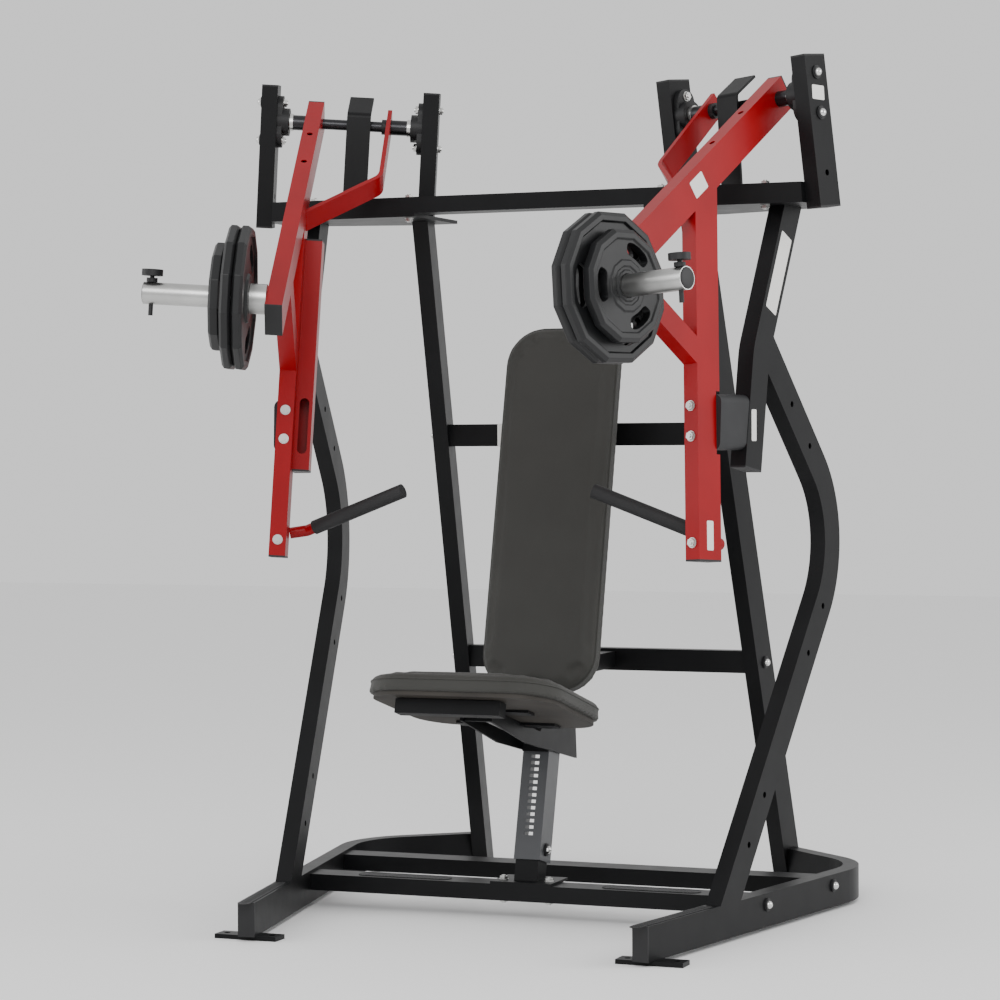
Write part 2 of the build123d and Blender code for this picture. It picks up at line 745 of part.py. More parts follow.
def lock_pin():
    """Knobbed pin dropped through the horn, outside the plates."""
    middle = horn_axis_point(PIN_A)
    saddle = HORN_R + 0.4
    pin = rod(middle - UPWARD * PIN_DROP, middle + UPWARD * (KNOB_C + 1), PIN_R)
    pin += rod(middle + UPWARD * saddle, middle + UPWARD * (saddle + 9), 12)
    return pin + rod(middle + UPWARD * KNOB_C, middle + UPWARD * (KNOB_C + KNOB_T), KNOB_R)


def weight_plate(start, radius, thickness):
    """Twelve-sided plate with a dished face and a steel-lined bore."""
    plane = Plane(origin=horn_axis_point(start), x_dir=UPWARD, z_dir=AXIS)
    polygon = RegularPolygon(radius, PLATE_SIDES, rotation=180 / PLATE_SIDES)
    plate = extrude(plane * polygon, amount=thickness)
    dish = Circle(radius * 0.80) - Circle(radius * 0.36)
    outer = plane.offset(thickness - PLATE_RECESS)
    plate -= extrude(outer * dish, amount=PLATE_RECESS + 1)
    return plate - extrude(plane * Circle(HORN_R + RUN_GAP), amount=thickness)


def handle_bar():
    """Round bar welded to the leg's inner face, bent toward the user, and its boss behind the leg."""
    points = [arm_point(*BAR_START), arm_point(*BAR_BEND), arm_point(*GRIP_END)]
    path = FilletPolyline(*points, radius=22)
    bar = sweep(Plane(origin=path @ 0, z_dir=path % 0) * Circle(BAR_R), path=path)
    back = arm_point(ARM_A, leg_middle(HANDLE_BOLT_C), HANDLE_BOLT_C) + LEG_BACK * TUBE_D / 2
    return [bar, rod(back, back + LEG_BACK * BAR_BOSS_L, BAR_R)]


def grip():
    """Rubber sleeve over the bar, closed at its free end."""
    end = arm_point(*GRIP_END)
    along = (end - arm_point(*BAR_BEND)).normalized()
    sleeve = rod(end - along * GRIP_LENGTH, end + along * 5, GRIP_R)
    return sleeve - rod(end - along * (GRIP_LENGTH + 1), end, BAR_R)


def tube_cap(point, direction, across, width=TUBE_W, depth=TUBE_D):
    """Plastic cap on the open end of a tube."""
    plane = Plane(origin=point, x_dir=across, z_dir=direction)
    return extrude(plane * Rectangle(width, depth), amount=CAP_T)


def arm_fittings():
    """Caps on the tube ends, the collar on the shaft and the dome nuts on the front of the leg."""
    shapes = [
        tube_cap(beam_point(-BEAM_TAIL, ARM_A), -FALL, AXIS),
        tube_cap(beam_point(BEAM_LENGTH, ARM_A), FALL, AXIS),
        tube_cap(arm_point(ARM_A, LEG_LOW_B, LEG_LOW_C), LEG_DOWN, AXIS),
        rod(arm_point(STRAP_A + STRAP_T / 2, 0, 0), arm_point(STRAP_A + 17, 0, 0), SPACER_R)
        - shaft_cutter(),
    ]
    a = ARM_A - TUBE_W
    for c, way in ((INNER_LEG_TOP_C, -1), (INNER_LEG_LOW_C, 1)):
        end = arm_point(a, leg_middle(c) + INNER_LEG_SHIFT, c)
        shapes.append(tube_cap(end, LEG_DOWN * way, AXIS, TUBE_W, INNER_LEG_D))
    for c in (-694, -760, HANDLE_BOLT_C):
        face = arm_point(ARM_A, leg_middle(c), c) - LEG_BACK * TUBE_D / 2
        shapes.append(extrude(Plane(origin=face, z_dir=-LEG_BACK) * Circle(9), amount=8))
    return shapes


def foot_plate(x, y, width, depth, bores):
    plate = Pos(x, y, FOOT_T / 2) * Box(width, depth, FOOT_T)
    for bore_x in bores:
        plate -= Pos(bore_x, y, FOOT_T / 2) * Cylinder(ANCHOR_R, FOOT_T)
    return plate


def bearing_bolts():
    """Nuts on the bearing flanges and bolt heads on the far side of each post."""
    shapes = []
    inner = INNER_POST_A + TUBE_W / 2
    outer = OUTER_POST_A - TUBE_W / 2
    for c in (-FLANGE_BOLT_C, FLANGE_BOLT_C):
        shapes += hex_head(arm_point(inner + FLANGE_T, 0, c), AXIS)
        shapes += hex_head(arm_point(outer - FLANGE_T, 0, c), -AXIS)
        shapes += hex_head(arm_point(inner - TUBE_W, -c * tan(radians(POST_LEAN)), c), -AXIS)
        shapes += dome_bolt(arm_point(outer + TUBE_W, -c * tan(radians(POST_LEAN)), c), AXIS)
    return shapes


def base_bolts():
    """Dome bolts on the rails, the lower brace and the crossbar, on the right-hand side."""
    shapes = []
    for y in (FRONT_CROSS_Y, REAR_CROSS_Y):
        s = y / cos(radians(SPLAY)) + RAIL_FRONT_X * sin(radians(SPLAY))
        shapes += dome_bolt(side_point(s, CROSS_Z, -TUBE_W / 2), SIDE_OUT)
    for z in (LOWER_BRACE_Z, UPPER_BRACE_Z):
        outer = upright_face(1)
        shapes += dome_bolt(upright_middle(z) + outer.z_dir * TUBE_W / 2, outer.z_dir)
    top = TOP_PLATE_Z + TOP_PLATE_T + TUBE_W
    for x in (TOP_PLATE_IN_X + 30, 560):
        shapes += hex_head((x, CROSSBAR_Y, top), (0, 0, 1))
        shapes += hex_head((x, CROSSBAR_Y, TOP_PLATE_Z), (0, 0, -1))
    return shapes


def seat_bolts():
    """Bolts through the foot of the seat post and its flange plate."""
    shapes = []
    half = POST_W / 2
    for way in (-1, 1):
        point = SEAT_PLANE.from_local_coords(Vector(way * half, POST_FRONT_Y + 36, POST_LOW_Z + 28))
        shapes += dome_bolt(point, (way, 0, 0))
        top = CROSS_Z + TUBE_W / 2 + FLANGE_PLATE_T
        shapes += hex_head((way * 56, FRONT_CROSS_Y, top), (0, 0, 1))
        shapes += hex_head((way * 56, FRONT_CROSS_Y, CROSS_Z - TUBE_W / 2), (0, 0, -1))
    return shapes


def frame_caps():
    """Caps on the tops of the posts, the front ends of the rails and the feet of the stop posts."""
    top = POST_RISE
    lean = tan(radians(POST_LEAN))
    upward = (arm_point(0, -lean, 1) - arm_point(0, 0, 0)).normalized()
    posts = (INNER_POST_A, OUTER_POST_A)
    shapes = [tube_cap(arm_point(a, -top * lean, top), upward, AXIS) for a in posts]
    rail_front = side_point(RAIL_FRONT_X * sin(radians(SPLAY)), RAIL_Z)
    foot = side_point(STOP_FOOT_S, STOP_FOOT_Z)
    down = (foot - side_point(STOP_KNEE_S, STOP_KNEE_Z)).normalized()
    shapes.append(tube_cap(rail_front, -SIDE, SIDE_OUT))
    shapes.append(tube_cap(foot, down, SIDE_OUT))
    low = -OUTER_POST_DROP
    shapes.append(tube_cap(arm_point(OUTER_POST_A, -low * lean, low), -upward, AXIS))
    return shapes


def both_sides(shapes):
    return [*shapes, *[mirrored(shape) for shape in shapes]]


# Frame
for name, maker in {
    "base_rail": base_rail,
    "front_leg": front_leg,
    "stop_post": stop_post,
    "rear_upright": rear_upright,
    "outer_post": outer_post,
    "inner_post": inner_post,
}.items():
    save_pair(name, maker())
front_x = RAIL_FRONT_X + 12
front_plate = foot_plate(front_x, 38, FRONT_FOOT_W, FRONT_FOOT_D, (front_x - 55, front_x + 55))
upright_foot = upright_middle(0)
rear_x = upright_foot.X - 30
rear_plate = foot_plate(rear_x, upright_foot.Y, REAR_FOOT_W, REAR_FOOT_D, (rear_x - 40,))
save("foot_plates", *both_sides([front_plate, rear_plate]))
save("top_plates", *both_sides([top_plate()]))
save("top_crossbar", crossbar())
save("front_crossbar", cross_member(FRONT_CROSS_Y))
save("rear_crossbar", cross_member(REAR_CROSS_Y))
save("upper_brace", rear_brace(UPPER_BRACE_Z))
save("lower_brace", rear_brace(LOWER_BRACE_Z))
bearings = [bearing(INNER_POST_A + TUBE_W / 2, 1), bearing(OUTER_POST_A - TUBE_W / 2, -1)]
save("bearing_units", *both_sides(bearings))
save("shaft_guards", *both_sides([shaft_guard()]))
save("stop_bumpers", *both_sides([bumper()]))
save("end_caps", *both_sides(frame_caps()))
save("frame_bolts", *both_sides([*bearing_bolts(), *base_bolts()]), *seat_bolts())

# Back pad and seat
save("back_pad", back_pad())
save("back_board", back_board())
save("pad_brackets", *pad_bracket(UPPER_BRACE_Z), *pad_bracket(LOWER_BRACE_Z))
save("seat_foot", seat_foot())
save("seat_post", seat_post())
save("seat_carriage", seat_carriage())
save("seat_board", seat_board())
save("seat_pad", seat_pad())
save("seat_latch", latch())
save("release_bar", release_bar())

# Arms
for name, maker in {
    "arm_beam": beam,
    "arm_leg": arm_leg,
    "arm_inner_leg": inner_leg,
    "arm_brace": arm_brace,
    "yoke_strap": yoke_strap,
    "pivot_shaft": shaft,
    "weight_horn": horn,
    "lock_pin": lock_pin,
    "grip": grip,
}.items():
    save_pair(name, maker())
save_pair("arm_fittings", *arm_fittings())
save_pair("handle_bar", *handle_bar())
first = PLATE_START_A + PLATE_GAP
second = first + LARGE_T + PLATE_GAP
third = second + LARGE_T + PLATE_GAP
save_pair("large_plates", *[weight_plate(a, LARGE_R, LARGE_T) for a in (first, second)])
save_pair("small_plate", weight_plate(third, SMALL_R, SMALL_T))
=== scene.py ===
import math
import bmesh
import bpy
import numpy
from mathutils import Matrix, Vector
from mathutils.bvhtree import BVHTree


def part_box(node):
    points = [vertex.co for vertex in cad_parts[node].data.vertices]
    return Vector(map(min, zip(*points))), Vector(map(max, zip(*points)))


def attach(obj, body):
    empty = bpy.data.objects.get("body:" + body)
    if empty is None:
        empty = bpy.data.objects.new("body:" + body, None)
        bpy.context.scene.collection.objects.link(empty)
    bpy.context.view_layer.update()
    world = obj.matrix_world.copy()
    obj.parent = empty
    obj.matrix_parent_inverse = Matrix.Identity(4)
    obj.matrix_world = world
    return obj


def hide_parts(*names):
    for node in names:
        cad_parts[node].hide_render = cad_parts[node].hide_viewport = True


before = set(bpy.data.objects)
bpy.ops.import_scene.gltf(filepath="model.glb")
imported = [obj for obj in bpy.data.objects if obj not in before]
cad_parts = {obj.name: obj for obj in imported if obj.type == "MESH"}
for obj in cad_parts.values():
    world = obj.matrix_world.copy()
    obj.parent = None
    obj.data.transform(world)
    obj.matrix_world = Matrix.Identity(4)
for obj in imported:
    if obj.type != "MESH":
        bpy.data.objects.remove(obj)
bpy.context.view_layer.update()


# ---------------------------------------------------------------- Frame tubing
# The frame is rectangular steel tube, cut, bent and welded, then powder coated black.
# The coat is satin with a fine orange-peel texture, and a little greyer where it is thin.
def new_material(name):
    mat = bpy.data.materials.new(name)
    mat.use_nodes = True
    tree = mat.node_tree
    tree.nodes.clear()
    shader = tree.nodes.new("ShaderNodeBsdfPrincipled")
    out = tree.nodes.new("ShaderNodeOutputMaterial")
    tree.links.new(shader.outputs["BSDF"], out.inputs["Surface"])
    return mat, tree, shader


def add_noise(tree, scale, detail=3.0):
    coords = tree.nodes.new("ShaderNodeTexCoord")
    noise = tree.nodes.new("ShaderNodeTexNoise")
    noise.inputs["Scale"].default_value = scale
    noise.inputs["Detail"].default_value = detail
    tree.links.new(coords.outputs["Object"], noise.inputs["Vector"])
    return noise


def ramp_between(tree, source, low, high, start=0.35, end=0.65):
    ramp = tree.nodes.new("ShaderNodeValToRGB")
    ramp.color_ramp.elements[0].position = start
    ramp.color_ramp.elements[0].color = low
    ramp.color_ramp.elements[1].position = end
    ramp.color_ramp.elements[1].color = high
    tree.links.new(source, ramp.inputs["Fac"])
    return ramp


def add_bump(tree, shader, height, strength, distance):
    bump = tree.nodes.new("ShaderNodeBump")
    bump.inputs["Strength"].default_value = strength
    bump.inputs["Distance"].default_value = distance
    tree.links.new(height, bump.inputs["Height"])
    tree.links.new(bump.outputs["Normal"], shader.inputs["Normal"])


COLOUR_PATCHES = 7.0
GLOSS_PATCHES = 22.0
GRAIN_DEPTH = 0.0004


def coated(name, colour, spread, rough, rough_spread, grain, bump, coat=0.0, metallic=0.0, shine=0.35):
    """Even finish with slow variation in colour and gloss, and a fine surface grain."""
    mat, tree, shader = new_material(name)
    slow = add_noise(tree, COLOUR_PATCHES)
    low = tuple(c * (1 - spread) for c in colour) + (1,)
    high = tuple(min(1, c * (1 + spread)) for c in colour) + (1,)
    tint = ramp_between(tree, slow.outputs["Fac"], low, high)
    tree.links.new(tint.outputs["Color"], shader.inputs["Base Color"])
    patch = add_noise(tree, GLOSS_PATCHES)
    gloss = tree.nodes.new("ShaderNodeMapRange")
    gloss.inputs["To Min"].default_value = rough - rough_spread
    gloss.inputs["To Max"].default_value = rough + rough_spread
    tree.links.new(patch.outputs["Fac"], gloss.inputs["Value"])
    tree.links.new(gloss.outputs["Result"], shader.inputs["Roughness"])
    fine = add_noise(tree, grain, 2.0)
    add_bump(tree, shader, fine.outputs["Fac"], bump, GRAIN_DEPTH)
    shader.inputs["Metallic"].default_value = metallic
    shader.inputs["Coat Weight"].default_value = coat
    shader.inputs["Specular IOR Level"].default_value = 0.5 if metallic else shine
    shader.inputs["Coat Roughness"].default_value = 0.08
    return mat


def paint(mat, *nodes):
    for name in nodes:
        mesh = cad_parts[name].data
        mesh.materials.clear()
        mesh.materials.append(mat)


def both(*names):
    return [f"{side}_{name}" for name in names for side in ("right", "left")]


powder = coated("frame_powder_coat", (0.0062, 0.0064, 0.0070), 0.16, 0.40, 0.05, 700.0, 0.22, shine=0.16)
paint(powder, *both("base_rail", "front_leg", "stop_post", "rear_upright", "outer_post", "inner_post"))
paint(powder, "top_plates", "top_crossbar", "front_crossbar", "rear_crossbar", "foot_plates")
paint(powder, "upper_brace", "lower_brace", "pad_brackets", "seat_foot", "shaft_guards")
paint(powder, "seat_carriage", "release_bar")


# ---------------------------------------------------------------- Tread strips
# Moulded rubber strips are glued on the front crossbar and on top of each base rail.
# Each has rounded ends, a raised rim and low cross ribs.
def put_piece(name, mesh, body, finishes):
    piece = bpy.data.objects.new(name, mesh)
    bpy.context.scene.collection.objects.link(piece)
    mesh.materials.clear()
    for finish in finishes:
        mesh.materials.append(finish)
    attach(piece, body)
    return piece


def rounded_outline(width, length, radius, inset=0.0, steps=14):
    """Closed outline of a rounded rectangle about the origin."""
    x = width / 2 - inset
    y = length / 2 - inset
    r = max(radius - inset, 0.0005)
    points = []
    for turn, (cx, cy) in enumerate(((x - r, y - r), (r - x, y - r), (r - x, r - y), (x - r, r - y))):
        for k in range(steps + 1):
            angle = math.pi / 2 * (turn + k / steps)
            points.append((cx + r * math.cos(angle), cy + r * math.sin(angle)))
    return points


def stacked(bm, rings, index=0):
    """Closed shell through rings of equal count, from the lowest to the highest."""
    loops = [[bm.verts.new(co) for co in ring] for ring in rings]
    count = len(loops[0])
    for low, high in zip(loops[:-1], loops[1:]):
        for k in range(count):
            after = (k + 1) % count
            bm.faces.new((low[k], low[after], high[after], high[k])).material_index = index
    bm.faces.new(list(reversed(loops[0]))).material_index = index
    bm.faces.new(loops[-1]).material_index = index


def to_mesh(bm, name, place):
    bmesh.ops.transform(bm, matrix=place, verts=bm.verts)
    mesh = bpy.data.meshes.new(name)
    bm.to_mesh(mesh)
    bm.free()
    return mesh


def lying(normal, along, origin):
    """Placement whose z is the given face direction and whose y runs along the piece."""
    z = Vector(normal).normalized()
    y = Vector(along).normalized()
    x = y.cross(z)
    turn = Matrix((x, y, z)).transposed().to_4x4()
    return Matrix.Translation(Vector(origin)) @ turn


tread_rubber = coated("tread_rubber", (0.013, 0.013, 0.014), 0.2, 0.55, 0.05, 1400.0, 0.6)
SPLAY = math.radians(11.0)
SIDE_OUT = Vector((math.cos(SPLAY), -math.sin(SPLAY), 0))
SIDE_REAR = Vector((math.sin(SPLAY), math.cos(SPLAY), 0))
SIDE_START = Vector((0, -0.540, 0))
RAIL_MIDDLE = 0.4506
RAIL_TOP = 0.086
RIB_PITCH = 0.009
TREAD_RIM = 0.006


def tread(name, width, length, place):
    bm = bmesh.new()
    radius = width / 2 - 0.0005
    levels = ((0.0, 0.0), (0.0011, 0.0), (0.0016, 0.0006), (0.0016, 0.0024), (0.0010, 0.0030))
    rings = []
    for z, inset in levels:
        rings.append([(x, y, z) for x, y in rounded_outline(width, length, radius, inset)])
    stacked(bm, rings)
    ribs = int(length / RIB_PITCH)
    half = width / 2 - TREAD_RIM
    for k in range(ribs):
        y = (k - (ribs - 1) / 2) * RIB_PITCH
        if abs(y) > length / 2 - width / 2:
            continue
        stacked(bm, [[(x, y + d, z) for x, d in ((-half, -e), (half, -e), (half, e), (-half, e))]
                     for z, e in ((0.0008, 0.0022), (0.0015, 0.0012))])
    return put_piece(name, to_mesh(bm, name, place), "frame", [tread_rubber])


for side in (1, -1):
    label = "right" if side > 0 else "left"
    bar_place = lying((0, 0, 1), (1, 0, 0), (0.305 * side, -0.020, 0.079))
    tread(f"{label}_crossbar_tread", 0.046, 0.235, bar_place)
    spot = SIDE_START + SIDE_OUT * RAIL_MIDDLE + SIDE_REAR * 0.218
    way = Vector((SIDE_REAR.x * side, SIDE_REAR.y, 0))
    rail_place = lying((0, 0, 1), way, (spot.x * side, spot.y, RAIL_TOP))
    tread(f"{label}_rail_tread", 0.026, 0.330, rail_place)

# ---------------------------------------------------------------- Bearings and shafts
# Cast two-bolt flange bearings carry a blackened steel shaft on each side.
# The castings are painted over a rougher sand-cast skin.
casting = coated("bearing_casting", (0.009, 0.0092, 0.010), 0.25, 0.5, 0.08, 260.0, 0.5)
paint(casting, "bearing_units")
shaft_steel = coated("blackened_steel", (0.035, 0.035, 0.038), 0.2, 0.3, 0.06, 500.0, 0.1, metallic=0.8)
paint(shaft_steel, *both("pivot_shaft"))

# ---------------------------------------------------------------- Arms
# Each arm is welded from the same tube and coated in a gloss red.
# A clear, hard gloss lies over the colour, so it reflects the room softly.
red = coated("arm_red_gloss", (0.27, 0.0008, 0.0040), 0.07, 0.33, 0.03, 420.0, 0.12, coat=0.05, shine=0.2)
paint(red, *both("arm_beam", "arm_leg", "arm_inner_leg", "arm_brace", "yoke_strap", "handle_bar"))

# ---------------------------------------------------------------- Bolts and collars
# Plated hexagon bolts with washers hold the bearings, top plates and arm legs.
# Chromed dome nuts on black washers finish the outside faces; zinc collars lock the shafts.
SAME_POINT = 0.000001


def shells(node):
    """Centre, axis, height and radius of each separate solid of a node."""
    bm = bmesh.new()
    bm.from_mesh(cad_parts[node].data)
    bmesh.ops.remove_doubles(bm, verts=bm.verts, dist=SAME_POINT)
    seen = set()
    found = []
    for start in bm.verts:
        if start in seen:
            continue
        seen.add(start)
        stack = [start]
        places = []
        while stack:
            vertex = stack.pop()
            places.append(vertex.co[:])
            for edge in vertex.link_edges:
                other = edge.other_vert(vertex)
                if other not in seen:
                    seen.add(other)
                    stack.append(other)
        cloud = numpy.array(places)
        middle = (cloud.min(0) + cloud.max(0)) / 2
        spread = cloud - cloud.mean(0)
        axis = numpy.linalg.eigh(spread.T @ spread)[1][:, 0]
        reach = spread @ axis
        radius = numpy.linalg.norm(spread - numpy.outer(reach, axis), axis=1).max()
        found.append((Vector(middle), Vector(axis), float(reach.max() - reach.min()), float(radius)))
    bm.free()
    return found


def solid_tree(skip):
    points = []
    faces = []
    for name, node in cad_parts.items():
        if name in skip:
            continue
        start = len(points)
        points.extend(vertex.co[:] for vertex in node.data.vertices)
        faces.extend([start + k for k in face.vertices] for face in node.data.polygons)
    return BVHTree.FromPolygons(points, faces)


def seated(marks, tree):
    """Foot point and outward direction of each bolt, away from the face it sits on."""
    feet = []
    for middle, axis, height, radius in marks:
        rim = axis.orthogonal().normalized() * radius * 0.6
        ends = [middle + axis * height / 2 * way + rim for way in (1, -1)]
        gaps = [tree.find_nearest(end)[3] for end in ends]
        way = axis if gaps[1] < gaps[0] else -axis
        feet.append((middle - way * height / 2, way))
    return feet


def fastener_tree(shape):
    """Turned or hexagonal stock, or a dome, set on each point along its own direction."""
    tree = bpy.data.node_groups.new("fastener_" + shape, "GeometryNodeTree")
    sockets = tree.interface
    sockets.new_socket("Places", in_out="INPUT", socket_type="NodeSocketGeometry")
    for label in ("Radius", "Height", "Lift"):
        sockets.new_socket(label, in_out="INPUT", socket_type="NodeSocketFloat")
    sockets.new_socket("Finish", in_out="INPUT", socket_type="NodeSocketMaterial")
    sockets.new_socket("Fasteners", in_out="OUTPUT", socket_type="NodeSocketGeometry")
    add = tree.nodes.new
    link = tree.links.new
    given = add("NodeGroupInput")
    lift = add("ShaderNodeCombineXYZ")
    moved = add("GeometryNodeTransform")
    if shape == "dome":
        body = add("GeometryNodeMeshUVSphere")
        body.inputs["Segments"].default_value = 28
        body.inputs["Rings"].default_value = 16
        body.inputs["Radius"].default_value = 1.0
        size = add("ShaderNodeCombineXYZ")
        for axis, label in (("X", "Radius"), ("Y", "Radius"), ("Z", "Height")):
            link(given.outputs[label], size.inputs[axis])
        link(size.outputs[0], moved.inputs["Scale"])
        link(given.outputs["Lift"], lift.inputs["Z"])
    else:
        body = add("GeometryNodeMeshCylinder")
        body.inputs["Vertices"].default_value = 6 if shape == "hex" else 36
        link(given.outputs["Radius"], body.inputs["Radius"])
        link(given.outputs["Height"], body.inputs["Depth"])
        half = add("ShaderNodeMath")
        half.operation = "MULTIPLY_ADD"
        half.inputs[1].default_value = 0.5
        link(given.outputs["Height"], half.inputs[0])
        link(given.outputs["Lift"], half.inputs[2])
        link(half.outputs[0], lift.inputs["Z"])
    link(body.outputs["Mesh"], moved.inputs["Geometry"])
    link(lift.outputs[0], moved.inputs["Translation"])
    smooth = add("GeometryNodeSetShadeSmooth")
    smooth.inputs["Shade Smooth"].default_value = shape == "dome"
    link(moved.outputs["Geometry"], smooth.inputs["Geometry"])
    way = add("GeometryNodeInputNamedAttribute")
    way.data_type = "FLOAT_VECTOR"
    way.inputs["Name"].default_value = "way"
    turn = add("FunctionNodeAlignRotationToVector")
    turn.axis = "Z"
    link(way.outputs["Attribute"], turn.inputs["Vector"])
    spread = add("GeometryNodeInstanceOnPoints")
    link(given.outputs["Places"], spread.inputs["Points"])
    link(smooth.outputs["Geometry"], spread.inputs["Instance"])
    link(turn.outputs["Rotation"], spread.inputs["Rotation"])
    real = add("GeometryNodeRealizeInstances")
    link(spread.outputs["Instances"], real.inputs["Geometry"])
    finish = add("GeometryNodeSetMaterial")
    link(real.outputs["Geometry"], finish.inputs["Geometry"])
    link(given.outputs["Finish"], finish.inputs["Material"])
    out = add("NodeGroupOutput")
    link(finish.outputs["Geometry"], out.inputs["Fasteners"])
    return tree


TREES = {shape: fastener_tree(shape) for shape in ("round", "hex", "dome")}


def lay_fasteners(name, feet, shape, radius, height, lift, finish, body, slot):
    points = bpy.data.meshes.new(name + "_places")
    points.from_pydata([foot[:] for foot, way in feet], [], [])
    ways = points.attributes.new("way", "FLOAT_VECTOR", "POINT")
    for k, (foot, way) in enumerate(feet):
        ways.data[k].vector = way
    holder = bpy.data.objects.new(name + "_holder", points)
    bpy.context.scene.collection.objects.link(holder)
    modifier = holder.modifiers.new("fasteners", "NODES")
    modifier.node_group = TREES[shape]
    wanted = {"Radius": radius, "Height": height, "Lift": lift, "Finish": finish}
    for item in TREES[shape].interface.items_tree:
        if item.name in wanted:
            modifier[item.identifier] = wanted[item.name]
    deps = bpy.context.evaluated_depsgraph_get()
    mesh = bpy.data.meshes.new_from_object(holder.evaluated_get(deps))
    bpy.data.objects.remove(holder)
    return put_piece(name, mesh, body, [finish])


washer_black = coated("washer_black", (0.012, 0.012, 0.013), 0.15, 0.45, 0.05, 500.0, 0.2)
plated = coated("bright_plate", (0.72, 0.72, 0.71), 0.06, 0.14, 0.05, 200.0, 0.05, metallic=1.0)
zinc_bolt = coated("zinc_bolt", (0.60, 0.60, 0.585), 0.14, 0.30, 0.08, 180.0, 0.1, metallic=1.0)
DOME_BOLT_H = 0.005
HEX_BOLT_H = 0.008
FITTINGS = ("frame_bolts", "right_arm_fittings", "left_arm_fittings", "end_caps")
near = solid_tree(FITTINGS)


def of_height(marks, height):
    return [mark for mark in marks if abs(mark[2] - height) < 0.0005]


bolts = shells("frame_bolts")
domes = of_height(bolts, DOME_BOLT_H)
hexes = of_height(bolts, HEX_BOLT_H)
feet = seated(domes, near)
dark = (washer_black, "frame", "cap_plastic")
washers = lay_fasteners("dome_washers", feet, "round", 0.015, 0.0035, 0.0, *dark)
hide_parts("frame_bolts")
lay_fasteners("dome_washer_lips", feet, "round", 0.0125, 0.0015, 0.0035, *dark)
lay_fasteners("dome_nuts", feet, "dome", 0.0094, 0.0090, 0.0045, plated, "frame", "bolt_chrome")
feet = seated(hexes, near)
lay_fasteners("hex_washers", feet, "round", 0.0112, 0.0016, 0.0, zinc_bolt, "frame", "bolt_chrome")
lay_fasteners("hex_nuts", feet, "hex", 0.0098, 0.0058, 0.0016, zinc_bolt, "frame", "bolt_chrome")
lay_fasteners("hex_studs", feet, "round", 0.0050, 0.0030, 0.0070, zinc_bolt, "frame", "bolt_chrome")

# The arm's own axes: out along the shaft, to the rear, and up.
YAW = math.radians(20.5)
TILT = math.radians(3.5)
ARM_OUT = Vector((math.cos(YAW) * math.cos(TILT), -math.sin(YAW) * math.cos(TILT), math.sin(TILT)))
ARM_REAR = Vector((math.sin(YAW), math.cos(YAW), 0))
ARM_UP = ARM_OUT.cross(ARM_REAR)
PIVOT = Vector((0.271, 0.186, 1.844))
INNER_COLLAR = 0.0902
OUTER_COLLAR = 0.3798
CAP_H = 0.007
BOLT_R = 0.0125


def mirror_x(co):
    return Vector((-co[0], co[1], co[2]))


def cap_copy(name, node, body, keep):
    """The tube caps of a fittings node, as their own piece, without its bolts."""
    bm = bmesh.new()
    bm.from_mesh(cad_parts[node].data)
    bmesh.ops.remove_doubles(bm, verts=bm.verts, dist=SAME_POINT)
    drop = []
    for middle, axis, height, radius in shells(node):
        if not keep(height, radius):
            drop.extend(v for v in bm.verts if (v.co - middle).length < radius * 1.4)
    bmesh.ops.delete(bm, geom=list(set(drop)), context="VERTS")
    return put_piece(name, to_mesh(bm, name, Matrix()), body, [nylon])


def is_cap(height, radius):
    return height < CAP_H or radius > BOLT_R


nylon = coated("black_nylon", (0.014, 0.014, 0.015), 0.1, 0.5, 0.05, 500.0, 0.2)
for side in ("right", "left"):
    body = f"{side}_arm"
    marks = of_height(shells(f"{side}_arm_fittings"), HEX_BOLT_H)
    leg_bolts = seated([mark for mark in marks if mark[3] < 0.012], near)
    caps = cap_copy(f"{side}_arm_caps", f"{side}_arm_fittings", body, is_cap)
    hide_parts(f"{side}_arm_fittings")
    bright = (zinc_bolt, body, "bolt_chrome")
    lay_fasteners(f"{side}_leg_washers", leg_bolts, "round", 0.0115, 0.0016, 0.0, *bright)
    lay_fasteners(f"{side}_leg_nuts", leg_bolts, "hex", 0.0098, 0.0056, 0.0016, *bright)
    lay_fasteners(f"{side}_leg_studs", leg_bolts, "round", 0.0048, 0.0030, 0.0070, *bright)
    collars = []
    for start, way in ((INNER_COLLAR, 1), (OUTER_COLLAR, -1)):
        foot = PIVOT + ARM_OUT * start
        direction = ARM_OUT * way
        if side == "left":
            foot = mirror_x(foot)
            direction = mirror_x(direction)
        collars.append((foot, direction))
    lay_fasteners(f"{side}_shaft_collars", collars, "round", 0.0208, 0.0080, 0.0, *bright)

# ---------------------------------------------------------------- Plates, horns and pins
# The plates are iron covered in moulded rubber; the horns are zinc-plated tube.
# A black nylon knob tops each lock pin.
rubber = coated("plate_rubber", (0.0085, 0.0088, 0.0095), 0.15, 0.40, 0.06, 320.0, 0.25)
zinc = coated("zinc_plate", (0.50, 0.50, 0.49), 0.18, 0.34, 0.08, 150.0, 0.12, metallic=1.0)
paint(zinc, *both("weight_horn"), "seat_latch")
paint(nylon, *both("lock_pin"), "end_caps")
FALL_ANGLE = math.radians(34.5)
BEAM_DOWN = -ARM_REAR * math.cos(FALL_ANGLE) - ARM_UP * math.sin(FALL_ANGLE)
BEAM_TOP = BEAM_DOWN.cross(ARM_OUT)
HORN_FOOT = PIVOT + BEAM_DOWN * 0.840 + BEAM_TOP * 0.022
HORN_END = 0.607
LARGE_R = 0.160
LARGE_T = 0.024
SMALL_R = 0.120
SMALL_T = 0.028
PLATE_GAP = 0.001
INNER_PLATE = 0.376
OUTER_PLATE = INNER_PLATE + LARGE_T + PLATE_GAP
SMALL_PLATE = OUTER_PLATE + LARGE_T + PLATE_GAP
LARGE_DISH = 0.006
SMALL_DISH = 0.004
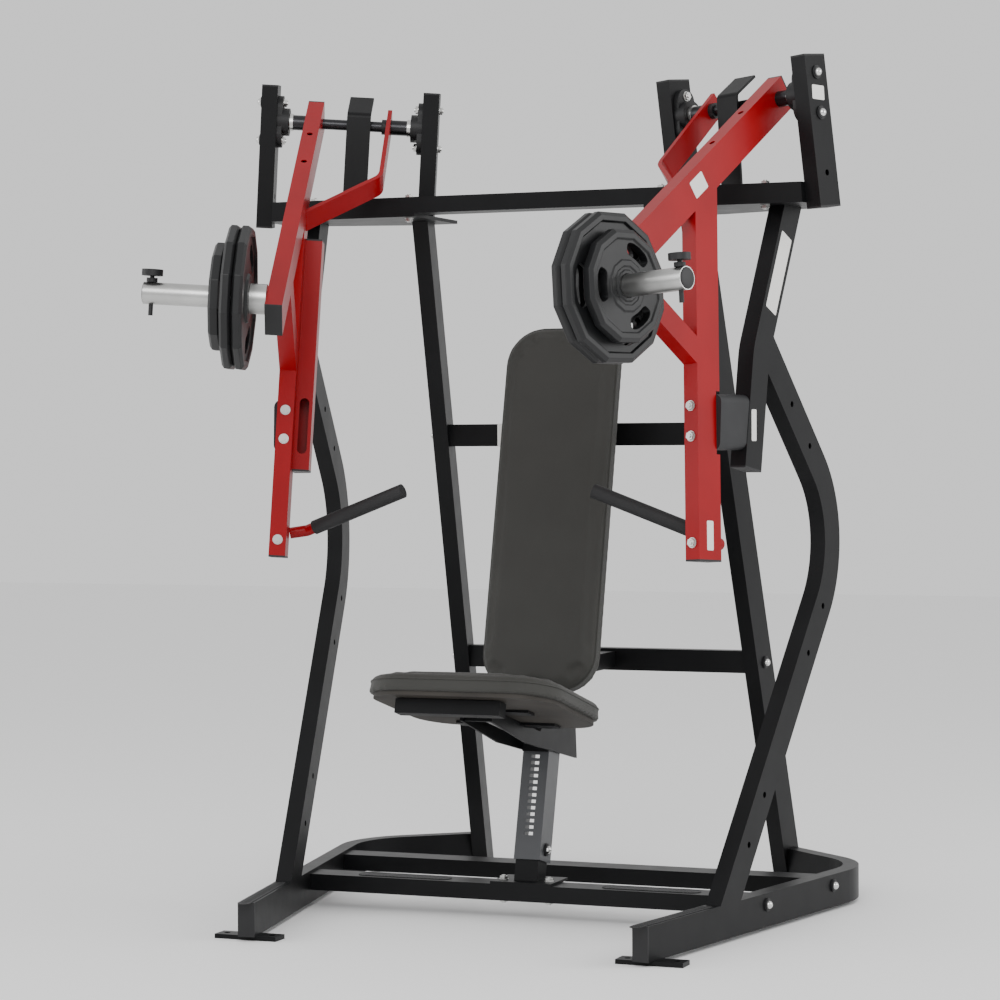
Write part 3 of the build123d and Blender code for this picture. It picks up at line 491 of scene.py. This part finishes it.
LARGE_HOLES = (0.086, 0.124, math.radians(24))
SMALL_HOLES = (0.063, 0.092, math.radians(25))


def weight_plate(name, start, radius, thick, dish, grip, body, side):
    """Twelve-sided plate: chamfered rim, sunk ring with three hand holes, raised hub.

    grip is the inner and outer radius of a hand hole and half the angle it spans.
    """
    rim = ((-0.008, 0.0), (0.0, 0.006), (0.0, thick - 0.006), (-0.008, thick), (-0.019, thick))
    face = [(radius + r, z) for r, z in rim]
    face += [(radius - 0.022, thick - dish), (0.056, thick - dish), (0.053, thick - 0.001)]
    face += [(0.042, thick - 0.001), (0.040, thick - 0.003), (0.034, thick - 0.003), (0.032, thick)]
    face += [(0.0252, thick), (0.0252, 0.0), (0.053, 0.0), (0.056, dish), (radius - 0.022, dish)]
    face += [(radius - 0.019, 0.0)]
    bm = bmesh.new()
    loops = []
    for r, z in face:
        turns = [math.radians(15 + 30 * k) for k in range(12)]
        loops.append([bm.verts.new((r * math.cos(t), r * math.sin(t), z)) for t in turns])
    for k, low in enumerate(loops):
        high = loops[(k + 1) % len(loops)]
        for j in range(12):
            bm.faces.new((low[j], low[(j + 1) % 12], high[(j + 1) % 12], high[j]))
    bmesh.ops.recalc_face_normals(bm, faces=bm.faces)
    plate = bpy.data.objects.new(name + "_blank", to_mesh(bm, name + "_blank", Matrix()))
    bpy.context.scene.collection.objects.link(plate)
    inner, outer, half = grip
    bm = bmesh.new()
    for middle in (math.pi, math.pi / 3, -math.pi / 3):
        ring = []
        for k in range(28):
            t = 2 * math.pi * k / 28
            across = math.copysign(abs(math.cos(t)) ** 0.55, math.cos(t))
            around = math.copysign(abs(math.sin(t)) ** 0.55, math.sin(t))
            r = (inner + outer) / 2 + (outer - inner) / 2 * across
            ring.append((r, middle + half * around))
        flat = [(r * math.cos(t), r * math.sin(t)) for r, t in ring]
        stacked(bm, [[(x, y, z) for x, y in flat] for z in (-0.01, thick + 0.01)])
    cutter = bpy.data.objects.new(name + "_cutter", to_mesh(bm, name + "_cutter", Matrix()))
    bpy.context.scene.collection.objects.link(cutter)
    cut = plate.modifiers.new("cut", "BOOLEAN")
    cut.object = cutter
    cut.solver = "EXACT"
    soften = plate.modifiers.new("soften", "BEVEL")
    soften.width = 0.0011
    soften.segments = 2
    soften.limit_method = "ANGLE"
    soften.angle_limit = math.radians(25)
    deps = bpy.context.evaluated_depsgraph_get()
    mesh = bpy.data.meshes.new_from_object(plate.evaluated_get(deps))
    bpy.data.objects.remove(plate)
    bpy.data.objects.remove(cutter)
    turn = Matrix((ARM_REAR, ARM_UP, ARM_OUT)).transposed().to_4x4()
    mesh.transform(Matrix.Translation(HORN_FOOT + ARM_OUT * start) @ turn)
    if side == "left":
        mesh.transform(Matrix.Diagonal((-1, 1, 1, 1)))
        mesh.flip_normals()
    return put_piece(name, mesh, body, [rubber])


for side in ("right", "left"):
    body = f"{side}_plates"
    large = (LARGE_R, LARGE_T, LARGE_DISH, LARGE_HOLES, body, side)
    inside = weight_plate(f"{side}_plate_inner", INNER_PLATE, *large)
    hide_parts(f"{side}_large_plates")
    weight_plate(f"{side}_plate_outer", OUTER_PLATE, *large)
    light = (SMALL_R, SMALL_T, SMALL_DISH, SMALL_HOLES, body, side)
    small = weight_plate(f"{side}_plate_small", SMALL_PLATE, *light)
    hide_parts(f"{side}_small_plate")
    end = HORN_FOOT + ARM_OUT * HORN_END
    way = ARM_OUT
    if side == "left":
        end = mirror_x(end)
        way = mirror_x(way)
    name = f"{side}_horn_plug"
    lay_fasteners(name, [(end, way)], "dome", 0.0225, 0.0035, 0.0, nylon, f"{side}_arm", "cap_plastic")

# ---------------------------------------------------------------- Grips and bumpers
# Soft rubber sleeves on the handles, and moulded rubber blocks on the stops.
grip_rubber = coated("grip_rubber", (0.016, 0.016, 0.017), 0.12, 0.62, 0.05, 900.0, 0.5)
paint(grip_rubber, *both("grip"))
bumper_rubber = coated("bumper_rubber", (0.018, 0.0185, 0.020), 0.2, 0.6, 0.06, 300.0, 0.4)
paint(bumper_rubber, "stop_bumpers")

# ---------------------------------------------------------------- Seat post and boards
# The post is grey coated steel with a ladder of latch slots.
# The boards behind the pads are dark stained plywood.
grey = coated("post_grey", (0.060, 0.062, 0.067), 0.1, 0.38, 0.05, 600.0, 0.2, coat=0.2)
paint(grey, "seat_post")
board = coated("pad_board", (0.03, 0.026, 0.022), 0.2, 0.6, 0.06, 120.0, 0.3)
paint(board, "back_board", "seat_board")


# ---------------------------------------------------------------- Pads
# Foam on a plywood board under grained charcoal vinyl, pulled tight and stapled behind.
# Each pad swells between its edges, and a welt runs around the edge of its face.
def vinyl_material():
    mat, tree, shader = new_material("pad_vinyl")
    slow = add_noise(tree, 9.0)
    tint = ramp_between(tree, slow.outputs["Fac"], (0.0310, 0.0308, 0.0275, 1), (0.0340, 0.0338, 0.0302, 1))
    tree.links.new(tint.outputs["Color"], shader.inputs["Base Color"])
    coords = tree.nodes.new("ShaderNodeTexCoord")
    cells = tree.nodes.new("ShaderNodeTexVoronoi")
    cells.feature = "DISTANCE_TO_EDGE"
    cells.inputs["Scale"].default_value = 520.0
    tree.links.new(coords.outputs["Object"], cells.inputs["Vector"])
    grain = ramp_between(tree, cells.outputs["Distance"], (0, 0, 0, 1), (1, 1, 1, 1), 0.0, 0.22)
    add_bump(tree, shader, grain.outputs["Color"], 0.55, 0.0006)
    shader.inputs["Roughness"].default_value = 0.52
    shader.inputs["Specular IOR Level"].default_value = 0.3
    shader.inputs["Sheen Weight"].default_value = 0.05
    return mat


def pad_blank(name, width, length, radius, thick, edge, place):
    """Closed pad shape: flat behind, with a rounded edge to its face."""
    levels = [(0.0, 0.004), (0.002, 0.0), (thick - edge, 0.0)]
    for k in range(1, 6):
        angle = math.pi / 2 * k / 5
        levels.append((thick - edge + edge * math.sin(angle), edge * (1 - math.cos(angle))))
    bm = bmesh.new()
    rings = []
    for height, inset in levels:
        ring = [bm.verts.new((x, y, height)) for x, y in rounded_outline(width, length, radius, inset)]
        rings.append(ring)
    count = len(rings[0])
    for low, high in zip(rings[:-1], rings[1:]):
        for k in range(count):
            bm.faces.new((low[k], low[(k + 1) % count], high[(k + 1) % count], high[k]))
    bm.faces.new(list(reversed(rings[0])))
    bm.faces.new(rings[-1])
    bmesh.ops.remove_doubles(bm, verts=bm.verts, dist=0.0003)
    bmesh.ops.transform(bm, matrix=place, verts=bm.verts)
    mesh = bpy.data.meshes.new(name)
    bm.to_mesh(mesh)
    bm.free()
    piece = bpy.data.objects.new(name, mesh)
    bpy.context.scene.collection.objects.link(piece)
    return piece


def bake_modifiers(piece):
    deps = bpy.context.evaluated_depsgraph_get()
    mesh = bpy.data.meshes.new_from_object(piece.evaluated_get(deps))
    piece.modifiers.clear()
    piece.data = mesh


PUFF = 0.007
SIDE_PUFF = 0.0025
STAPLED_DEPTH = 0.008


def swell(piece, place):
    """Inflate the cushion by cloth simulation, held at its back, then smooth it."""
    remesh = piece.modifiers.new("remesh", "REMESH")
    remesh.mode = "VOXEL"
    remesh.voxel_size = 0.006
    bake_modifiers(piece)
    back = place.inverted()
    rest = [v.co.copy() for v in piece.data.vertices]
    heights = [(back @ co).z for co in rest]
    held = piece.vertex_groups.new(name="held")
    held.add([k for k, h in enumerate(heights) if h < STAPLED_DEPTH], 1.0, "REPLACE")
    cloth = piece.modifiers.new("cloth", "CLOTH")
    cloth.settings.use_pressure = True
    cloth.settings.uniform_pressure_force = 4.0
    cloth.settings.vertex_group_mass = "held"
    cloth.settings.effector_weights.gravity = 0.0
    cloth.settings.quality = 5
    cloth.settings.tension_stiffness = 12
    cloth.settings.compression_stiffness = 12
    for step in range(1, 21):
        bpy.context.scene.frame_set(step)
    bake_modifiers(piece)
    bpy.context.scene.frame_set(1)
    piece.vertex_groups.clear()
    facing = place.to_3x3()
    for vertex, start in zip(piece.data.vertices, rest):
        move = facing.transposed() @ (vertex.co - start)
        sideways = Vector((move.x, move.y, 0))
        if sideways.length > SIDE_PUFF:
            sideways *= SIDE_PUFF / sideways.length
        rise = max(-0.001, min(PUFF, move.z))
        vertex.co = start + facing @ (sideways + Vector((0, 0, rise)))
    smooth = piece.modifiers.new("smooth", "SMOOTH")
    smooth.iterations = 4
    rounder = piece.modifiers.new("rounder", "SUBSURF")
    rounder.levels = 1
    rounder.render_levels = 1
    bake_modifiers(piece)
    for face in piece.data.polygons:
        face.use_smooth = True


def welt(name, pad, width, length, radius, height, thick, place, body, mat):
    """Piping: a thin tube around the pad, lying on its skin along the edge of its face."""
    faces = [face.vertices[:] for face in pad.data.polygons]
    skin = BVHTree.FromPolygons([vertex.co for vertex in pad.data.vertices], faces)
    outline = []
    for x, y in rounded_outline(width, length, radius, 0.0, 10):
        place_on, normal = skin.find_nearest(place @ Vector((x, y, height)))[:2]
        outline.append(place_on + normal * 0.0003)
    curve = bpy.data.curves.new(name, "CURVE")
    curve.dimensions = "3D"
    curve.bevel_depth = thick
    curve.bevel_resolution = 3
    spline = curve.splines.new("POLY")
    spline.points.add(len(outline) - 1)
    for point, co in zip(spline.points, outline):
        point.co = (*co, 1)
    spline.use_cyclic_u = True
    holder = bpy.data.objects.new(name + "_curve", curve)
    bpy.context.scene.collection.objects.link(holder)
    deps = bpy.context.evaluated_depsgraph_get()
    mesh = bpy.data.meshes.new_from_object(holder.evaluated_get(deps))
    bpy.data.objects.remove(holder)
    for face in mesh.polygons:
        face.use_smooth = True
    piece = bpy.data.objects.new(name, mesh)
    bpy.context.scene.collection.objects.link(piece)
    mesh.materials.clear()
    mesh.materials.append(mat)
    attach(piece, body)
    return piece


WELT_R = 0.0022
PAD_EDGE = 0.016
BACK_W, BACK_L, BACK_R, BACK_T = 0.286, 0.878, 0.092, 0.047
SEAT_W, SEAT_L, SEAT_R, SEAT_T = 0.456, 0.412, 0.102, 0.041

vinyl = vinyl_material()
recline = math.radians(13.4)
along = Vector((0, math.sin(recline), math.cos(recline)))
face_way = Vector((0, -math.cos(recline), math.sin(recline)))
foot = Vector((0, 0.032, 0.516))
middle = foot + along * 0.442 - face_way * 0.052
back_place = lying(face_way, along, middle)
back_pad = pad_blank("back_cushion", BACK_W, BACK_L, BACK_R, BACK_T, PAD_EDGE, back_place)
swell(back_pad, back_place)
back_pad.data.materials.append(vinyl)
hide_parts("back_pad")
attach(back_pad, "frame")
welt("back_cushion_welt", back_pad, 0.289, 0.881, 0.093, 0.035, WELT_R, back_place, "frame", vinyl)

rake = math.radians(15.0)
seat_normal = Vector((0, math.sin(rake), math.cos(rake)))
seat_along = Vector((0, math.cos(rake), -math.sin(rake)))
seat_front = Vector((0, -0.460, 0.604))
middle = seat_front + seat_along * 0.209 - seat_normal * 0.046
seat_place = lying(seat_normal, seat_along, middle)
seat_pad = pad_blank("seat_cushion", SEAT_W, SEAT_L, SEAT_R, SEAT_T, PAD_EDGE, seat_place)
swell(seat_pad, seat_place)
seat_pad.data.materials.append(vinyl)
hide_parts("seat_pad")
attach(seat_pad, "seat")
welt("seat_cushion_welt", seat_pad, 0.459, 0.415, 0.104, 0.028, WELT_R, seat_place, "seat", vinyl)

# ---------------------------------------------------------------- Blank labels
# Printed vinyl labels sit on the posts, arms and upper brace; here they carry no lettering.
# Each is a thin white film with a coloured header bar.
film = coated("label_film", (0.78, 0.77, 0.74), 0.03, 0.42, 0.03, 300.0, 0.05)
label_red = coated("label_red", (0.55, 0.02, 0.02), 0.05, 0.42, 0.03, 300.0, 0.05)
label_dark = coated("label_dark", (0.012, 0.012, 0.013), 0.1, 0.42, 0.03, 300.0, 0.05)


def sticker(name, width, length, place, body, bars, bar_finish):
    """bars are (start, end, inset) along the label's length, from 0 to 1."""
    bm = bmesh.new()
    stacked(bm, [[(x, y, z) for x, y in rounded_outline(width, length, 0.003, 0, 4)] for z in (0.0, 0.0004)])
    for low, high, inset in bars:
        y0, y1 = (low - 0.5) * length, (high - 0.5) * length
        half = width / 2 - inset
        corners = ((-half, y0), (half, y0), (half, y1), (-half, y1))
        stacked(bm, [[(x, y, z) for x, y in corners] for z in (0.0003, 0.0006)], 1)
    return put_piece(name, to_mesh(bm, name, place), body, [film, bar_finish])


HEADER = [(0.70, 0.93, 0.003)]
PANEL_BARS = [(0.06, 0.10, 0.005), (0.46, 0.54, 0.005), (0.90, 0.94, 0.005)]
ARM_FACE = 0.339
POST_FACE = 0.447
RAIL_FACE = 0.4696
UPRIGHT = Vector((0, 0, 1))
face = PIVOT + ARM_OUT * ARM_FACE
leg_low = ARM_REAR * -0.337 + ARM_UP * -1.026
leg_high = ARM_REAR * -0.283 + ARM_UP * -0.200
leg_up = (leg_high - leg_low).normalized()
side_face = SIDE_START + SIDE_OUT * RAIL_FACE
stop_up = (SIDE_REAR * 0.155 + UPRIGHT * 0.335).normalized()
beam_place = lying(ARM_OUT, -BEAM_DOWN, face + BEAM_DOWN * 0.375)
leg_place = lying(ARM_OUT, leg_up, face + leg_low + leg_up * 0.052)
post_place = lying(ARM_OUT, ARM_UP, PIVOT + ARM_OUT * POST_FACE + ARM_REAR * -0.001)
stop_place = lying(SIDE_OUT, UPRIGHT, side_face + SIDE_REAR * 0.564 + UPRIGHT * 1.131)
panel_place = lying(SIDE_OUT, stop_up, side_face + SIDE_REAR * 0.686 + UPRIGHT * 1.473)
for side in ("right", "left"):
    arm = f"{side}_arm"
    labels = [
        sticker(f"{side}_beam_label", 0.040, 0.052, beam_place, arm, HEADER, label_red),
        sticker(f"{side}_leg_label", 0.022, 0.064, leg_place, arm, HEADER, label_red),
        sticker(f"{side}_post_label", 0.044, 0.032, post_place, "frame", HEADER, label_red),
        sticker(f"{side}_stop_label", 0.022, 0.070, stop_place, "frame", HEADER, label_red),
        sticker(f"{side}_stop_panel", 0.050, 0.190, panel_place, "frame", PANEL_BARS, label_dark),
    ]
    if side == "left":
        for piece in labels:
            piece.data.transform(Matrix.Diagonal((-1, 1, 1, 1)))
            piece.data.flip_normals()
low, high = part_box("upper_brace")
brace_spot = (-0.190, low.y, (low.z + high.z) / 2)
sticker("brace_label", 0.046, 0.056, lying((0, -1, 0), (0, 0, 1), brace_spot), "frame", HEADER, label_red)

# ---------------------------------------------------------------- Stage
# A pale floor, a white room and soft lights.
# The camera stands to the front and a little to the machine's +X side.
floor_mesh = bpy.data.meshes.new("floor")
floor_mesh.from_pydata([(-14, -14, 0), (14, -14, 0), (14, 14, 0), (-14, 14, 0)], [], [(0, 1, 2, 3)])
floor = bpy.data.objects.new("floor", floor_mesh)
bpy.context.scene.collection.objects.link(floor)
floor_mat, _, floor_shader = new_material("floor_white")
floor_shader.inputs["Base Color"].default_value = (0.93, 0.93, 0.93, 1)
floor_shader.inputs["Roughness"].default_value = 0.8
floor.data.materials.append(floor_mat)

world = bpy.data.worlds.new("room")
bpy.context.scene.world = world
world.use_nodes = True
world.node_tree.nodes["Background"].inputs["Color"].default_value = (1, 1, 1, 1)
world.node_tree.nodes["Background"].inputs["Strength"].default_value = 0.95


def area_light(name, place, target, size, power):
    data = bpy.data.lights.new(name, "AREA")
    data.size = size
    data.energy = power
    lamp = bpy.data.objects.new(name, data)
    bpy.context.scene.collection.objects.link(lamp)
    lamp.location = place
    lamp.rotation_euler = (Vector(target) - Vector(place)).to_track_quat("-Z", "Y").to_euler()


area_light("key", (1.5, -4.5, 3.8), (0, 0, 1.0), 2.5, 120)
area_light("side", (4.5, 0.5, 2.5), (0, 0, 1.0), 2.5, 80)
area_light("left", (-4.0, -2.0, 2.5), (0, 0, 1.0), 2.5, 50)

yaw = math.radians(21.895)
pitch = math.radians(1.059)
roll = math.radians(-0.327)
forward = Vector((-math.sin(yaw) * math.cos(pitch), math.cos(yaw) * math.cos(pitch), -math.sin(pitch)))
level_right = Vector((math.cos(yaw), math.sin(yaw), 0))
level_up = level_right.cross(forward)
right = level_right * math.cos(roll) + level_up * math.sin(roll)
up = level_up * math.cos(roll) - level_right * math.sin(roll)
turn = Matrix((right, up, -forward)).transposed().to_4x4()
camera_data = bpy.data.cameras.new("camera")
camera_data.sensor_width = 36.0
camera_data.lens = 105.575
camera_data.shift_x = 0.00497
camera_data.shift_y = -0.00291
camera_data.clip_end = 60.0
camera = bpy.data.objects.new("camera", camera_data)
bpy.context.scene.collection.objects.link(camera)
camera.matrix_world = Matrix.Translation(Vector((2.4563, -6.3117, 1.0951))) @ turn
bpy.context.scene.camera = camera
